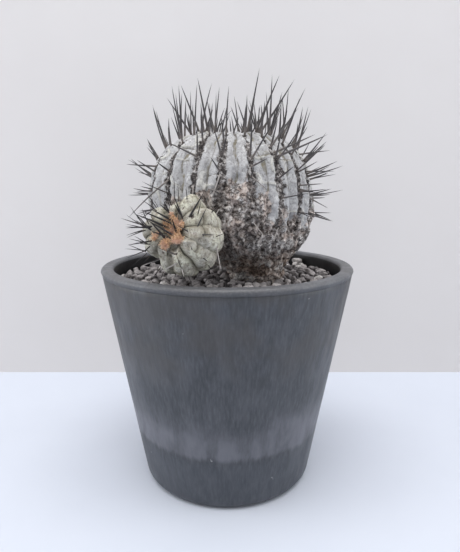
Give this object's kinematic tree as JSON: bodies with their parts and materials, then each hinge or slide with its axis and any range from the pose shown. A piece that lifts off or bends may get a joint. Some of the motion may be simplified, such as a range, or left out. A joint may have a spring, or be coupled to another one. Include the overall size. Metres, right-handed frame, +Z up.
{
  "type": "potted round cactus",
  "caption": "Chalky, ribbed globe cactus with dark spines and a small offset at its foot, planted in a tapered matte grey pot under a top dressing of loose lava gravel.",
  "frame": {"origin": "middle of the pot's flat underside", "axes": "+Z up out of the pot, -Y towards the side where the offset grows, +X to the right seen from that side"},
  "size_m": [0.155, 0.1694, 0.2479],
  "materials": {
    "pot_plastic": "matte, lightly brushed and dusty",
    "net_plastic": "matte black mesh",
    "potting_mix": "dark and crumbly",
    "lava_gravel": "rough and porous",
    "main_skin": "chalky wax with corky scars",
    "offset_skin": "chalky wax over pale green",
    "grey_wool": "dense grey-brown wool",
    "orange_wool": "fresh orange-brown wool",
    "spine": "dry, horny and near-black"
  },
  "bodies": {
    "root": {"drainage_net": "net_plastic", "gravel_bed": "lava_gravel", "gravel_stone_01": "lava_gravel", "gravel_stone_02": "lava_gravel", "gravel_stone_03": "lava_gravel", "gravel_stone_04": "lava_gravel", "gravel_stone_05": "lava_gravel", "gravel_stone_06": "lava_gravel", "gravel_stone_07": "lava_gravel", "gravel_stone_08": "lava_gravel", "gravel_stone_09": "lava_gravel", "gravel_stone_10": "lava_gravel", "gravel_stone_11": "lava_gravel", "gravel_stone_12": "lava_gravel", "gravel_stone_13": "lava_gravel", "gravel_stone_14": "lava_gravel", "main_crown_wool": "grey_wool", "main_rib_01_spines": "spine", "main_rib_02_spines": "spine", "main_rib_03_spines": "spine", "main_rib_04_spines": "spine", "main_rib_05_spines": "spine", "main_rib_06_spines": "spine", "main_rib_07_spines": "spine", "main_rib_08_spines": "spine", "main_rib_09_spines": "spine", "main_rib_10_spines": "spine", "main_rib_11_spines": "spine", "main_rib_12_spines": "spine", "main_rib_13_spines": "spine", "main_rib_14_spines": "spine", "main_rib_15_spines": "spine", "main_rib_16_spines": "spine", "main_rib_17_spines": "spine", "main_rib_18_spines": "spine", "main_rib_19_spines": "spine", "main_stem": "main_skin", "offset_crown_wool": "orange_wool", "offset_rib_01_spines": "spine", "offset_rib_02_spines": "spine", "offset_rib_03_spines": "spine", "offset_rib_04_spines": "spine", "offset_rib_05_spines": "spine", "offset_rib_06_spines": "spine", "offset_rib_07_spines": "spine", "offset_rib_08_spines": "spine", "offset_rib_09_spines": "spine", "offset_rib_10_spines": "spine", "offset_stem": "offset_skin", "pot": "pot_plastic", "potting_mix": "potting_mix"}
  },
  "joints": []
}
